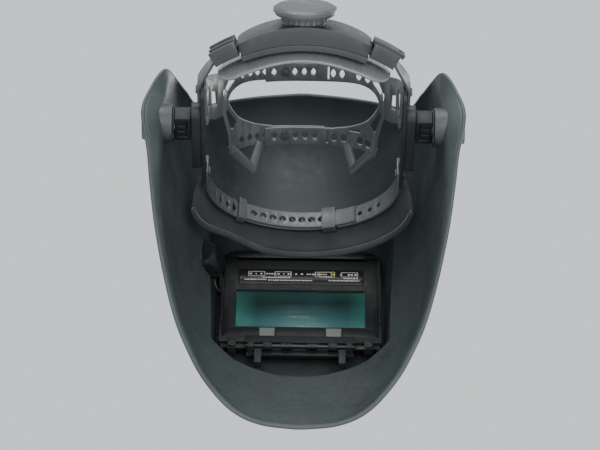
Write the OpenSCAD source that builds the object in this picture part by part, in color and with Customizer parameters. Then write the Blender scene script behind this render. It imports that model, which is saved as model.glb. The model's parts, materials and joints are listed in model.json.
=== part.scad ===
// Welding helmet with a self-darkening filter, worn upright.
// Frame: the wearer faces -Y, +Z is up, +X is the wearer's left.
// Origin: middle of the tilt axis, in the centre of the head opening.
// Units are millimetres.

/* [Shell] */
// Wall thickness of the moulded shell
shell_wall = 2.5; // [2:0.5:3]
// Nose-down pitch of the lowered shell against the level headband, degrees
shell_pitch = 5.5; // [4:0.5:6]
// Diameter of the pivot hole in each side of the shell
pivot_hole_d = 12.1; // [12.05:0.05:12.2]

/* [Filter] */
// Width of the filter cartridge
filter_w = 110; // [108:1:110]
// Height of the filter cartridge
filter_h = 90; // [88:1:90]
// Thickness of the filter cartridge
filter_t = 9; // [9:0.1:9.2]
// Width of the view window
view_w = 92; // [88:1:94]
// Height of the view window
view_h = 42; // [38:1:44]

/* [Headband] */
// Height of the plastic straps
strap_h = 15; // [13:1:15]
// Thickness of the plastic straps
strap_t = 1.5; // [1.4:0.1:1.6]
// Half spacing of the side rails, to their middle
rail_x = 68.75; // [68.5:0.25:69]
// Pitch of the round adjusting holes
hole_pitch = 7; // [6.5:0.5:8]
// Diameter of the round adjusting holes
hole_d = 4.8; // [4:0.2:5]

/* [Knobs] */
// Diameter of the ratchet knob
ratchet_d = 42.5; // [40:0.5:46]
// Diameter of the side tension knobs
tension_d = 25; // [23:1:25]
// Diameter of the shade knob
shade_d = 33; // [28:1:34]

/* [Hidden] */
$fn = 48;

// ---------- shell form ----------
// Rim of the shell from the chin to the crown: half width, forward, up, flare, squareness, draft
rim = [
  [0, 80, -206, 0, 2.2, 0], [26, 79, -203, 0, 2.2, 0], [46, 75, -194, 1, 2.3, 0.02],
  [64, 67, -175, 1.5, 2.4, 0.05], [76, 58, -155, 2, 2.5, 0.08], [85, 49, -134, 2, 2.6, 0.11],
  [93, 36, -106, 2, 2.8, 0.14], [99.5, 22, -76, 2.5, 2.9, 0.17], [103.5, 6, -51, 3.5, 3, 0.19],
  [106, -5, -31, 6, 3, 0.2], [110.5, -17.5, -7.5, 11, 3, 0.2], [106, -19, 13.5, 8, 2.9, 0.19],
  [97, -21, 31, 2, 2.8, 0.16], [90, -3, 41, 0.5, 2.7, 0.12], [83, 14, 46, 0, 2.6, 0.08],
  [78, 30, 52, 0, 2.5, 0.05], [70, 52, 74, 0, 2.4, 0.02], [51, 72, 101, 0, 2.3, 0],
  [28, 76, 110, 0, 2.2, 0], [0, 76, 113, 0, 2.2, 0]];
// Middle line of the face from the chin to the crown: forward, up
face = [
  [80, -206], [90, -188], [101, -168], [112, -147], [124, -124], [135, -101], [144, -77],
  [151, -50], [154, -27], [155, -7], [156, 8], [156, 21], [154, 35], [150, 49], [144, 61],
  [135, 76], [124, 89], [108, 103], [92, 111], [76, 113]];
t_first = 0.1;
t_last = 18.9;
t_steps = 44;
a_steps = 34;
flare_span = 0.06;

// Smooth curve through a list of points, at position t counted in points
function along(P, t) =
  let (n = len(P) - 1, i = min(floor(t), n - 1), f = t - i,
       a = P[max(i - 1, 0)], b = P[i], c = P[i + 1], d = P[min(i + 2, n)])
  0.5 * (2 * b + (c - a) * f + (2 * a - 5 * b + 4 * c - d) * f * f + (3 * b - a - 3 * c + d) * f * f * f);
function unit(v) = v / max(norm(v), 1e-9);

// Point of the outer surface, t from chin to crown, a from the right rim (-90) to the left rim (90)
function shell_point(t, a) =
  let (r = along(rim, t), c = along(face, t), ex = 2 / r[4],
       w = pow(max(cos(a), 0), ex), s = sign(a) * pow(abs(sin(a)), ex),
       fl = max(r[3], 0), k = max(0, 1 - w / flare_span))
  [s * ((r[0] - fl) * (1 - r[5] * w) + fl * k * k),
   -(r[1] + (c[0] - r[1]) * w), r[2] + (c[1] - r[2]) * w];
function shell_normal(t, a) =
  let (tt = min(max(t, 0.5), 18.5), aa = min(max(a, -84), 84),
       du = shell_point(tt + 0.05, aa) - shell_point(tt - 0.05, aa),
       dv = shell_point(tt, aa + 1.5) - shell_point(tt, aa - 1.5))
  unit(cross(dv, du));
function t_at(i) = t_first + (t_last - t_first) * i / t_steps;
// Steps across the shell, closer together near the rim
function a_at(j) =
  let (v = 2 * j / a_steps - 1, q = (abs(v) - 0.72) / 0.28)
  sign(v) * (abs(v) < 0.72 ? abs(v) / 0.72 * 80 : 90 - 10 * pow(1 - q, 3));
// Outward direction of the rim in the side view
function rim_out(t) =
  let (d = along(rim, min(t + 0.05, 19)) - along(rim, max(t - 0.05, 0))) unit([0, d[2], d[1]]);

module grid_solid(P) {
  rows = len(P);
  cols = len(P[0]);
  pts = [for (i = [0:rows - 1]) for (j = [0:cols - 1]) P[i][j]];
  function id(i, j) = i * cols + j;
  skin = [for (i = [0:rows - 2]) for (j = [0:cols - 2]) each
    [[id(i, j), id(i + 1, j + 1), id(i, j + 1)], [id(i, j), id(i + 1, j), id(i + 1, j + 1)]]];
  cap = [for (i = [0:rows - 2]) each
    [[id(i, 0), id(i + 1, cols - 1), id(i + 1, 0)], [id(i, 0), id(i, cols - 1), id(i + 1, cols - 1)]]];
  low = [for (j = [1:cols - 2]) [id(0, 0), id(0, j), id(0, j + 1)]];
  high = [for (j = [1:cols - 2]) [id(rows - 1, 0), id(rows - 1, j + 1), id(rows - 1, j)]];
  polyhedron(points = pts, faces = concat(skin, cap, low, high), convexity = 6);
}
module outer_form()
  grid_solid([for (i = [0:t_steps]) [for (j = [0:a_steps]) shell_point(t_at(i), a_at(j))]]);
module inner_form()
  grid_solid([for (i = [0:t_steps]) let (t = t_at(i), b = rim_out(t))
    [for (j = [-1:a_steps + 1]) let (jj = min(max(j, 0), a_steps), a = a_at(jj))
      shell_point(t, a) - shell_wall * shell_normal(t, a)
      + ((j < 0 || j > a_steps) ? 6 * b : [0, 0, 0])]]);

module in_shell() rotate([shell_pitch, 0, 0]) children();
filter_f = 155;
filter_u = -16;
module in_filter() in_shell() translate([0, -filter_f, filter_u]) rotate([98, 0, 0]) children();

// Snout outline, front and back, before the wall is taken off
function snout_front(d) = [[52 - d, 54 - d], [63.5 - d, 43 - d * 0.6], [63 - d, -60 + d * 0.6], [36 - d * 0.4, -78 + d], [0, -83 + d],
  [-36 + d * 0.4, -78 + d], [-63 + d, -60 + d * 0.6], [-63.5 + d, 43 - d * 0.6], [-52 + d, 54 - d]];
function snout_back(d) = [[58 - d, 62 - d], [70 - d, 48 - d * 0.6], [65 - d, -98 + d * 0.6], [36 - d * 0.4, -132 + d * 1.2], [0, -147 + d * 1.3],
  [-36 + d * 0.4, -132 + d * 1.2], [-65 + d, -98 + d * 0.6], [-70 + d, 48 - d * 0.6], [-58 + d, 62 - d]];
module snout_form(d, front, chamfer) hull() {
  translate([0, 0, front - 0.2]) linear_extrude(0.2) polygon(snout_front(d + chamfer));
  translate([0, 0, front - 4 - 0.2]) linear_extrude(0.2) polygon(snout_front(d));
  translate([0, 0, -52]) linear_extrude(0.2) polygon(snout_back(d));
}

// Shade control axis on the left side of the snout
module in_shade() in_shell() translate([71.5, -122, -14]) rotate([0, 0, -20]) rotate([0, 90, 0]) children();
module side(s) if (s > 0) children(); else mirror([1, 0, 0]) children();
// Along +X from the tilt axis
module on_axis(s, x) side(s) translate([x, 0, 0]) rotate([0, 90, 0]) children();

module rrect(w, h, r) {
  square([w - 2 * r, h], center = true);
  square([w, h - 2 * r], center = true);
  for (i = [-1, 1]) for (j = [-1, 1]) translate([i * (w / 2 - r), j * (h / 2 - r)]) circle(r);
}

module shell() color([0.09, 0.09, 0.1]) difference() {
  union() {
    in_shell() difference() {
      union() {
        outer_form();
        translate([0, -filter_f, filter_u]) rotate([98, 0, 0]) snout_form(0, 15.5, 3);
        for (s = [-1, 1]) side(s) translate([94, 0, 0]) rotate([0, 90, 0]) cylinder(r = 16.5, h = 7.4);
        translate([71.5, -122, -14]) rotate([0, 0, -20]) rotate([0, 90, 0]) translate([0, 0, -7]) cylinder(r = 18.5, h = 7);
      }
      inner_form();
      translate([0, -filter_f, filter_u]) rotate([98, 0, 0]) snout_form(shell_wall, 13, 2);
    }
    for (s = [-1, 1]) on_axis(s, 89.6) cylinder(r = 13.3, h = 11.8);
    in_shade() translate([0, 0, -5]) cylinder(r = 12, h = 5);
  }
  for (s = [-1, 1]) on_axis(s, 80) cylinder(d = pivot_hole_d, h = 40);
  in_shade() translate([0, 0, -12]) cylinder(r = 5, h = 20);
  in_shade() translate([-12.2, -10.7, -30]) cube([24.4, 21.4, 25]);
  in_filter() translate([0, -1, 8]) linear_extrude(12) rrect(98, 70, 4);
}

// ---------- filter group ----------
module holder_outline() polygon([[50.8, 50], [57.3, 44.4], [57.3, -51.5], [-57.3, -51.5], [-57.3, 44.4], [-50.8, 50]]);
module filter_holder() color([0.07, 0.07, 0.075]) in_filter() {
  difference() {
    translate([0, 0, -1]) linear_extrude(10.2) holder_outline();
    translate([-filter_w / 2 - 0.2, -filter_h / 2 - 0.2, -2]) cube([filter_w + 0.4, filter_h + 0.4, 12.7]);
  }
  // front lip
  difference() {
    translate([-56, -48, 9.1]) cube([112, 90, 2.5]);
    translate([-51, -38, 8]) cube([102, 75, 6]);
  }
  // top catch over the cartridge
  translate([-46, 43, -2]) cube([92, 6, 0.95]);
  translate([-46, 45.4, -2]) cube([92, 3.6, 3]);
  difference() {
    union() {
      // floor below the cartridge and its step
      translate([-56, -56, 1]) cube([112, 5.5, 2]);
      translate([-37.5, -66, -1]) cube([75, 11, 2]);
      translate([-37.5, -56.6, -1]) cube([75, 1.6, 4]);
      for (s = [-1, 1]) translate([s * 29.5 - 2.4, -79, -5.2]) cube([4.8, 15, 5.2]);
      for (s = [-1, 1]) translate([s * 34.5 - 2, -63.5, -6.4]) cube([4, 6, 6.4]);
    }
    translate([-50, -60, -4]) rotate([0, 90, 0]) cylinder(r = 1.5, h = 100);
  }
  for (s = [-1, 1]) translate([s * 48 - 3, -61.5, -4]) cube([6, 10, 6]);
  // long shallow ribs on the rim of the cartridge pocket
  for (s = [-1, 1]) translate([s * 56 - 0.65, -30, -2.2]) cube([1.3, 22, 1.4]);
}
module filter_case_rear() color([0.06, 0.06, 0.065]) in_filter() difference() {
  linear_extrude(4.4) rrect(filter_w, filter_h, 3);
  translate([0, -12.7, -1]) linear_extrude(8) rrect(view_w, view_h, 1.2);
  translate([-49.2, -37, 1.6]) cube([98.4, 48.6, 5]);
  translate([-51, 12.6, 1.6]) cube([102, 29, 5]);
  for (s = [-1, 1]) translate([s * 53.2, -21, -0.4]) cube([1.4, 15, 1.6], center = true);
}
module filter_case_front() color([0.06, 0.06, 0.065]) in_filter() difference() {
  translate([0, 0, 4.5]) linear_extrude(filter_t - 4.5) rrect(filter_w, filter_h, 3);
  translate([0, -12.7, 3]) linear_extrude(8) rrect(view_w, view_h, 1.2);
  translate([-49.2, -37, 4]) cube([98.4, 48.6, 4.2]);
  translate([-51, 12.6, 4]) cube([102, 29, 2.6]);
  translate([-29, 16, 3]) cube([58, 14, 9]);
  for (s = [-1, 1]) translate([s * 39, 23, 3]) cylinder(r = 3.6, h = 9);
}
module lcd_panel() color([0.08, 0.2, 0.18]) in_filter() translate([-49, -36.8, 1.7]) cube([98, 48.2, 5.2]);
module front_glass() color([0.1, 0.3, 0.22]) in_filter() translate([-49, -36.8, 7]) cube([98, 48.2, 1.1]);
module inner_cover_lens() color([0.5, 0.6, 0.6, 0.5]) in_filter() translate([0, -13, -1]) linear_extrude(0.95) rrect(103, 46.6, 1.5);
module outer_cover_lens() color([0.6, 0.65, 0.65, 0.5]) in_filter() translate([0, -1, 11.7]) linear_extrude(1.2) rrect(104, 76, 2);
module solar_cell() color([0.12, 0.08, 0.2]) in_filter() translate([-28.5, 16.5, 6.7]) cube([57, 13, 1.5]);
module light_sensors() color([0.1, 0.02, 0.05]) in_filter() for (s = [-1, 1]) translate([s * 39, 23, 6.7]) cylinder(r = 3.4, h = 2);
module circuit_board() color([0.1, 0.35, 0.15]) in_filter() translate([-50, 13.4, 3]) cube([100, 27.4, 1.3]);
module label_plate() color([0.12, 0.12, 0.13]) in_filter() {
  translate([0, 23, -0.4]) linear_extrude(0.38) rrect(90, 17, 1);
}
module holder_screws() color([0.2, 0.2, 0.21]) in_filter() for (s = [-1, 1]) translate([s * 48, -58.3, -5.2]) {
  difference() {
    cylinder(r = 2.6, h = 1.15);
    for (r = [0, 90]) rotate(r) cube([3.4, 0.7, 1], center = true);
  }
}
module bail_pin() color([0.7, 0.7, 0.72]) in_filter() translate([-38, -60, -4]) rotate([0, 90, 0]) cylinder(r = 1.45, h = 76);
module bail_spring() color([0.6, 0.6, 0.62]) in_filter() for (s = [-1, 1]) for (i = [0:4])
  translate([s * 9 - 3 + i * 1.5, -60, -4]) rotate([0, 90, 0]) difference() {
    cylinder(r = 2.5, h = 1);
    translate([0, 0, -1]) cylinder(r = 1.6, h = 3);
  }
module retaining_bail() color([0.1, 0.1, 0.105]) in_filter() difference() {
  union() {
    translate([-38.5, -56, -3]) cube([77, 9, 1.7]);
    translate([-38.5, -56, -4.4]) cube([77, 1.6, 1.6]);
    for (s = [-1, 1]) {
      translate([s * 23.5 - 6, -48, -2.6]) cube([12, 10.6, 1.5]);
      translate([s * 23 - 3.2, -60, -5.6]) cube([6.4, 6, 3.2]);
      translate([s * 23 - 3.2, -60, -4]) rotate([0, 90, 0]) cylinder(r = 3, h = 6.4);
    }
  }
  translate([-50, -60, -4]) rotate([0, 90, 0]) cylinder(r = 1.5, h = 100);
}

// ---------- shade control ----------
module shade_housing() color([0.08, 0.08, 0.085]) in_shade() difference() {
  intersection() {
    translate([-11.5, -10, -14.5]) cube([23, 20, 9.4]);
    union() {
      translate([0, 0, -14.5]) cylinder(r1 = 9.6, r2 = 13.6, h = 4.4);
      translate([0, 0, -10.2]) cylinder(r = 13.6, h = 6);
    }
  }
  translate([0, 0, -13.1]) cylinder(r = 8.7, h = 6.6);
  translate([0, 0, -9]) cylinder(r = 4.6, h = 8);
  translate([6, -3, -11]) rotate([0, 90, 0]) cylinder(r = 1.3, h = 12);
}
module shade_bushing() color([0.65, 0.65, 0.67]) in_shade() {
  translate([0, 0, -12.7]) cylinder(r = 8, h = 5.9);
  translate([0, 0, -7.2]) cylinder(r = 4.5, h = 7.4);
  translate([0, 0, 0.1]) difference() {
    cylinder(r = 7, h = 1.8, $fn = 6);
    translate([0, 0, -1]) cylinder(r = 4.5, h = 5);
  }
  cylinder(r = 3, h = 9);
}
module shade_knob() color([0.12, 0.12, 0.125]) in_shade() difference() {
  union() {
    translate([0, 0, 2.6]) cylinder(d = shade_d, h = 3);
    difference() {
      translate([0, 0, 5]) cylinder(d1 = shade_d - 3, d2 = shade_d - 6, h = 9.5);
      for (i = [0:15]) rotate(i * 22.5) translate([shade_d / 2 - 1, 0, 6]) cylinder(r = 1.5, h = 12);
    }
  }
  translate([0, 0, 0]) cylinder(r = 3.06, h = 9.4);
  translate([0, 0, 0]) cylinder(r = 8.5, h = 3.6);
  translate([8, 0, 14.2]) cube([9, 2, 1.4], center = true);
}
module shade_pointer() color([0.85, 0.85, 0.85]) in_shade() translate([8, 0, 13.95]) cube([8.6, 1.6, 0.8], center = true);
lead_route = [[61.3, -125.8, -27], [60.8, -126.6, -30], [59.4, -129.5, -32.5], [57.4, -133, -32], [57.2, -138, -28], [57.4, -142.5, -20],
  [57.6, -145.6, -10], [57.8, -147.6, 0], [57.8, -148.8, 7]];
function ring_at(P, i, r, m) =
  let (n = len(P) - 1, d = unit(P[min(i + 1, n)] - P[max(i - 1, 0)]),
       u = unit(cross(d, [1, 0.2, 0.1])), v = cross(d, u))
  [for (k = [0:m - 1]) P[i] + r * (cos(360 * k / m) * u - sin(360 * k / m) * v)];
module loft(L) {
  m = len(L[0]);
  n = len(L);
  pts = [for (s = L) each s];
  walls = [for (i = [0:n - 2]) for (k = [0:m - 1]) let (a = i * m + k, b = i * m + (k + 1) % m) each
    [[a, b, b + m], [a, b + m, a + m]]];
  ends = concat([for (k = [1:m - 2]) [0, k + 1, k]], [for (k = [1:m - 2]) [(n - 1) * m, (n - 1) * m + k, (n - 1) * m + k + 1]]);
  polyhedron(points = pts, faces = concat(walls, ends), convexity = 6);
}
module shade_lead() color([0.05, 0.05, 0.055]) in_shell() {
  R = [for (i = [0:24]) along(lead_route, i / 3)];
  loft([for (i = [0:24]) ring_at(R, i, 1.1, 8)]);
}
module lead_plug() color([0.06, 0.06, 0.065]) in_filter() {
  translate([55.2, 23.6, -7.6]) cube([6, 11, 6.5]);
  translate([56.6, 34.6, -6.6]) cube([3.2, 2.4, 4.6]);
}

// ---------- side pivots ----------
module tension_knob(s) color([0.1, 0.1, 0.105]) on_axis(s, 101.8) difference() {
  union() {
    cylinder(d = tension_d - 4, h = 2.4);
    translate([0, 0, 2]) difference() {
      cylinder(d1 = tension_d, d2 = tension_d - 3, h = 6.6);
      for (i = [0:7]) rotate(i * 45 + 22.5) translate([tension_d / 2 + 1.2, 0, -1]) cylinder(r = 3.6, h = 9);
    }
  }
  translate([0, 0, -1]) cylinder(r = 7, h = 7);
}
module tension_knob_left() tension_knob(1);
module tension_knob_right() tension_knob(-1);
module knob_insert(s) color([0.75, 0.6, 0.3]) on_axis(s, 102.2) difference() {
  cylinder(r = 6.95, h = 5.2);
  translate([0, 0, -1]) cylinder(r = 4.05, h = 9);
}
module knob_insert_left() knob_insert(1);
module knob_insert_right() knob_insert(-1);
module pivot_bolt(s) color([0.55, 0.55, 0.58]) on_axis(s, 0) {
  translate([-4.2, -4.2, 79]) cube([8.4, 8.4, 7]);
  translate([0, 0, 85.9]) cylinder(r = 4, h = 2.1);
  translate([0, 0, 87.95]) cylinder(r = 6, h = 13.95);
  translate([0, 0, 101.9]) cylinder(r = 4, h = 4.8);
}
module pivot_bolt_left() pivot_bolt(1);
module pivot_bolt_right() pivot_bolt(-1);
module stop_disc(s) color([0.09, 0.09, 0.095]) on_axis(s, 88.1) difference() {
  union() {
    cylinder(r = 12, h = 1.4);
    translate([9, -3, 0]) cube([6, 6, 1.4]);
  }
  translate([0, 0, -1]) cylinder(r = 6.02, h = 4);
}
module stop_disc_left() stop_disc(1);
module stop_disc_right() stop_disc(-1);
module slide_block(s) color([0.1, 0.1, 0.105]) side(s) difference() {
  union() {
    translate([77, -11, -5.5]) cube([10.9, 22, 11]);
    translate([72.6, -5.9, -4.3]) cube([4.6, 11.8, 8.6]);
  }
  translate([70, -4.3, -4.3]) cube([16.1, 8.6, 8.6]);
  translate([84, 0, 0]) rotate([0, 90, 0]) cylinder(r = 4.1, h = 6);
  // relief slots in the underside
  for (y = [-8.2, -2.6, 3]) translate([79.4, y, -6.5]) cube([6.6, 1.5, 2]);
  translate([79.4, -8.2, -6.5]) cube([1.5, 16.4, 2]);
}
module slide_block_left() slide_block(1);
module slide_block_right() slide_block(-1);
module track(s) color([0.09, 0.09, 0.095]) side(s) difference() {
  union() {
    translate([70.1, -36, -7]) cube([6.4, 48, 14]);
    translate([70.1, 12, 0]) rotate([0, 90, 0]) cylinder(r = 7, h = 6.4);
    translate([70.1, -36, 0]) rotate([0, 90, 0]) cylinder(r = 7, h = 6.4);
  }
  translate([72.2, -34, -4.6]) cube([6, 44, 9.2]);
  translate([68, 13.5, 0]) rotate([0, 90, 0]) cylinder(r = 1.9, h = 12);
  translate([68, -37.5, 0]) rotate([0, 90, 0]) cylinder(r = 1.9, h = 12);
}
module track_left() track(1);
module track_right() track(-1);

// ---------- headband ----------
module side_rail(s) color([0.1, 0.1, 0.105]) side(s) difference() {
  union() {
    translate([67.5, -57, -8]) cube([2.5, 91, 16]);
    translate([67.5, 34, -3]) cube([2.5, 5, 6]);
    for (z = [-3, 3]) translate([67.5, 34, z]) rotate([0, 90, 0]) cylinder(r = 5, h = 2.5);
    translate([67.5, 36, 0]) rotate([0, 90, 0]) cylinder(r = 5.4, h = 2.5);
  }
  translate([60, 36, 0]) rotate([0, 90, 0]) cylinder(r = 2.8, h = 20);
  translate([60, 13.5, 0]) rotate([0, 90, 0]) cylinder(r = 1.9, h = 20);
  translate([60, -37.5, 0]) rotate([0, 90, 0]) cylinder(r = 1.9, h = 20);
  translate([60, -50, 0]) rotate([0, 90, 0]) cylinder(r = 1.9, h = 20);
  translate([66, -8, -3]) cube([6, 12, 6]);
  translate([66, -26, -3]) cube([6, 12, 6]);
}
module side_rail_left() side_rail(1);
module side_rail_right() side_rail(-1);

// Front loop: half an ellipse ahead of the rails, q is the angle from straight ahead
front_a = 66.35;
front_b = 47;
front_c = 58;
function front_pt(q, d) =
  let (n = unit([sin(q) / front_a, cos(q) / front_b]))
  [front_a * sin(q) + d * n[0], -(front_c + front_b * cos(q) + d * n[1])];
module band(q1, q2, d1, d2, h, steps = 40)
  translate([0, 0, -h / 2]) linear_extrude(h)
    polygon(concat([for (i = [0:steps]) front_pt(q1 + (q2 - q1) * i / steps, d1)],
      [for (i = [steps:-1:0]) front_pt(q1 + (q2 - q1) * i / steps, d2)]));
module through(x) {
  q = asin(x / front_a);
  n = unit([sin(q) / front_a, cos(q) / front_b]);
  translate([front_pt(q, 0)[0], front_pt(q, 0)[1], 0]) rotate([0, 0, atan2(n[0], n[1])]) rotate([90, 0, 0]) translate([0, 0, -6]) children();
}
module front_strap_left() color([0.12, 0.12, 0.125]) difference() {
  union() {
    band(-21, 90, -strap_t / 2, strap_t / 2, strap_h);
    translate([65.6, -58, -strap_h / 2]) cube([strap_t, 16, strap_h]);
  }
  for (x = [48, 53, 57.6, 61.6]) through(x) scale([0.58, 1, 1]) rotate(45) translate([-2.1, -2.1, 0]) cube([4.2, 4.2, 12]);
  for (i = [0:7]) through(38 - i * hole_pitch) cylinder(d = hole_d, h = 12);
  translate([60, -50, 0]) rotate([0, 90, 0]) cylinder(r = 1.9, h = 20);
}
module front_strap_right() color([0.13, 0.13, 0.135]) difference() {
  union() {
    band(-90, -22, -strap_t / 2, strap_t / 2, strap_h);
    band(-36, 41, -2.5, -1, 13.4);
    band(-36, -31.5, -2.5, strap_t / 2, 13.4, 6);
    translate([-65.6 - strap_t, -58, -strap_h / 2]) cube([strap_t, 16, strap_h]);
  }
  for (i = [0:7]) through(35 - i * hole_pitch) cylinder(d = hole_d, h = 12);
  for (x = [-41, -48, -54]) through(x) cylinder(d = 3.6, h = 12);
  translate([-80, -50, 0]) rotate([0, 90, 0]) cylinder(r = 1.9, h = 20);
}
module strap_buckle() color([0.14, 0.14, 0.145]) difference() {
  band(-21.4, -12.6, -3.7, 1.9, 18.4, 8);
  band(-30, -5, -2.7, 0.95, 15.9, 16);
}
module strap_keeper() color([0.14, 0.14, 0.145]) difference() {
  band(38, 44, -3.7, 1.9, 18, 6);
  band(30, 50, -2.7, 0.95, 15.5, 12);
}
module stud(x, y, z, l) translate([x, y, z]) rotate([0, 90, 0]) {
  cylinder(r = 1.85, h = l);
}
module rail_studs() color([0.15, 0.15, 0.155]) for (s = [-1, 1]) side(s) {
  // track studs
  stud(65.6, 13.5, 0, 10.8);
  translate([64.6, 13.5, 0]) rotate([0, 90, 0]) cylinder(r = 3, h = 1.1);
  stud(67.4, -37.5, 0, 9.2);
  translate([66.3, -37.5, 0]) rotate([0, 90, 0]) cylinder(r = 3, h = 1.1);
  // front stud: front strap to rail
  stud(65.3, -50, 0, 4.9);
  translate([70.1, -50, 0]) rotate([0, 90, 0]) cylinder(r = 3, h = 1.2);
  translate([64.4, -50, 0]) rotate([0, 90, 0]) cylinder(r = 3, h = 1.1);
}
// Sweatband: pad outside the front strap, leaning outwards at its lower edge
function pad_pt(q, d, z) =
  let (a = 70.5, b = 50, n = unit([sin(q) / a, cos(q) / b]), lean = max(0, (6 - z)) * 0.16)
  [a * sin(q) + (d + lean) * n[0], -(front_c + b * cos(q) + (d + lean) * n[1]), z];
module sweatband() color([0.16, 0.16, 0.165])
  loft([for (i = [0:28]) let (q = -84 + 168 * i / 28)
    [pad_pt(q, -0.6, 10), pad_pt(q, -0.6, -7.5), pad_pt(q, -0.6, -15), pad_pt(q, -0.2, -23), pad_pt(q, 3.4, -24),
     pad_pt(q, 4.2, -15), pad_pt(q, 4.2, 0), pad_pt(q, 3, 10)]]);

// ---------- crown ----------
module in_crown() translate([0, -42.5, 58.6]) rotate([13, 0, 0]) children();
// Height of the crown sheet at half width x
arch = [[-30, -2.4], [-15, -0.5], [0, 0], [20, -0.8], [35, -3.2], [44, -7], [50.5, -13], [55, -21], [58.5, -31], [61.5, -42],
  [64, -54], [65.7, -67], [66.6, -82]];
module arch_sheet(len_q, t) {
  n = 36;
  function ap(i) = along(arch, i * 12 / n);
  function nn(i) = let (d = ap(min(i + 1, n)) - ap(max(i - 1, 0))) unit([-d[1], d[0]]);
  rotate([90, 0, 0]) translate([0, 0, -len_q / 2]) linear_extrude(len_q)
    polygon(concat([for (i = [0:n]) ap(i) + nn(i) * t / 2], [for (i = [n:-1:0]) ap(i) - nn(i) * t / 2]));
}
// Inside edge of the ring, half width and rearward distance
ring_in = [[0, -21], [14, -20.9], [25, -20], [35.5, -16.8], [44, -10.5], [49, -1.5], [51.8, 7], [52.6, 13], [50.5, 17.3], [45, 19.8], [36, 20.4], [18, 19.8], [0, 19.5]];
// Plan of one half of the ring, rearward is up
module crown_plan(reach_f, reach_r) difference() {
  union() {
    translate([reach_f, -36]) square([50 - reach_f, strap_h]);
    translate([reach_r, 19.5]) square([52 - reach_r, strap_h]);
    polygon([[22, -36], [51.5, -36], [52.8, -17], [56.3, 6.3], [58.4, 20], [60, 34], [60, 44], [52, 40], [46, 34.5], [22, 34.5]]);
  }
  polygon([for (i = [0:36]) along(ring_in, i / 3)]);
  polygon([[53.2, 6], [54.6, 4], [51.4, -14], [49.6, -16], [47, -11], [50.2, -3]]);
  translate([56.6, 22]) rotate(8) square([2.4, 8.6], center = true);
  polygon([[46, 33], [50.5, 33], [55, 25], [53.6, 20.5], [49, 24.5]]);
}
module crown_half(s, rf, rr, drop) side(s) difference() {
  intersection() {
    union() {
      in_crown() translate([0, 0, -drop]) intersection() {
        arch_sheet(180, 1.3);
        union() {
          translate([0, 0, -36]) linear_extrude(50) crown_plan(rf, rr);
          // side leg down to the rail
          translate([52, 0, 0]) rotate([90, 0, 90]) linear_extrude(18) difference() {
            polygon([[4, -22], [44, -28], [58, -50], [75, -78], [32, -78], [26, -58], [14, -42]]);
            polygon([[24, -37], [36, -39], [45, -52], [33, -53]]);
            polygon([[38, -59], [50, -57], [58, -68], [44, -68]]);
          }
        }
      }
      translate([65.75, 7, -3]) cube([1.65, 36, 9]);
    }
    translate([-40, -150, -3]) cube([107.4, 300, 200]);
  }
  for (y = [13.5, 36]) {
    translate([60, y, 0]) rotate([0, 90, 0]) cylinder(r = y > 20 ? 2.8 : 1.9, h = 10);
    translate([58, y, 0]) rotate([0, 90, 0]) cylinder(r = 3.2, h = 7.75);
  }
}
module v_tab(s) side(s) in_crown() {
  hull() {
    translate([50, -33, -13.6]) cylinder(r = 3.4, h = 1.5, $fn = 24);
    translate([36.5, -51.5, -11.8]) cylinder(r = 3.6, h = 1.5, $fn = 24);
  }
  hull() {
    translate([36.5, -51.5, -11.8]) cylinder(r = 3.6, h = 1.5, $fn = 24);
    translate([31.4, -35.5, -4.4]) cylinder(r = 3.2, h = 1.5, $fn = 24);
  }
}
// Oval adjusting hole through the crown sheet
module oval(x, q) in_crown() translate([x, q, -30]) intersection() {
  translate([3.45, 0, 0]) cylinder(r = 5.2, h = 80, $fn = 64);
  translate([-3.45, 0, 0]) cylinder(r = 5.2, h = 80, $fn = 64);
}
module slot(x, q) in_crown() translate([x, q, -30]) {
  for (e = [-1, 1]) translate([0, e * 1.5, 0]) cylinder(r = 2, h = 80, $fn = 32);
  translate([-2, -1.5, 0]) cube([4, 3, 80]);
}
module diamond(x, q, w, l) in_crown() translate([x, q, -30]) linear_extrude(80) polygon([[-w, 0], [0, -l], [w, 0], [0, l]]);
module crown_half_left() color([0.13, 0.13, 0.135]) union() {
  difference() {
    crown_half(1, -15, -15, 0);
    for (x = [43.6, 38, 32.6, 27.2]) diamond(x, -28.5, 2.1, 4);
    for (x = [20.5, 13, 5.5, -1.4, -8.2]) slot(x, -28.5);
    for (x = [43, 37.6, 32.6, 27.4]) diamond(x, 27, 2, 3.2);
    for (x = [21, 13, 6.4, -0.2, -6.6]) oval(x, 27);
  }
  v_tab(1);
}
module crown_half_right() color([0.13, 0.13, 0.135]) union() {
  difference() {
    crown_half(-1, -27, -27, 1.55);
    for (x = [20.5, 13, 5.5, -1.4, -8.2, -22, -28.8, -40.4, -45.9]) slot(x, -28.5);
    for (x = [21, 13, 6.4, -0.2, -6.6, -20.5, -26.7, -38.4, -44.5]) oval(x, 27);
    in_crown() for (y = [-28.5, 27]) translate([-17.2, y, 0]) cube([1.2, 11, 80], center = true);
    in_crown() translate([-36.5, -20.5, 0]) cube([8, 2.6, 80], center = true);
  }
  v_tab(-1);
}
module crown_studs() color([0.16, 0.16, 0.165]) in_crown() for (q = [-28.5, 27]) translate([13, q, 0]) {
  translate([0, 0, -3.8]) cylinder(r = 1.7, h = 5.4);
  translate([0, 0, -3.8]) cylinder(r = 3, h = 0.9);
  translate([0, 0, 0.65]) cylinder(r = 3, h = 1);
}

// ---------- rear adjuster ----------
rear_tilt = 33.5;
module in_rear() translate([0, -13.6, -53.3]) rotate([rear_tilt, 0, 0]) children();
module arc(r1, r2, z1, z2, a1, a2) translate([0, 0, z1]) rotate([0, 0, 90 + a1])
  rotate_extrude(angle = a2 - a1, $fn = 180) translate([r1, 0]) square([r2 - r1, z2 - z1]);
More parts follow.
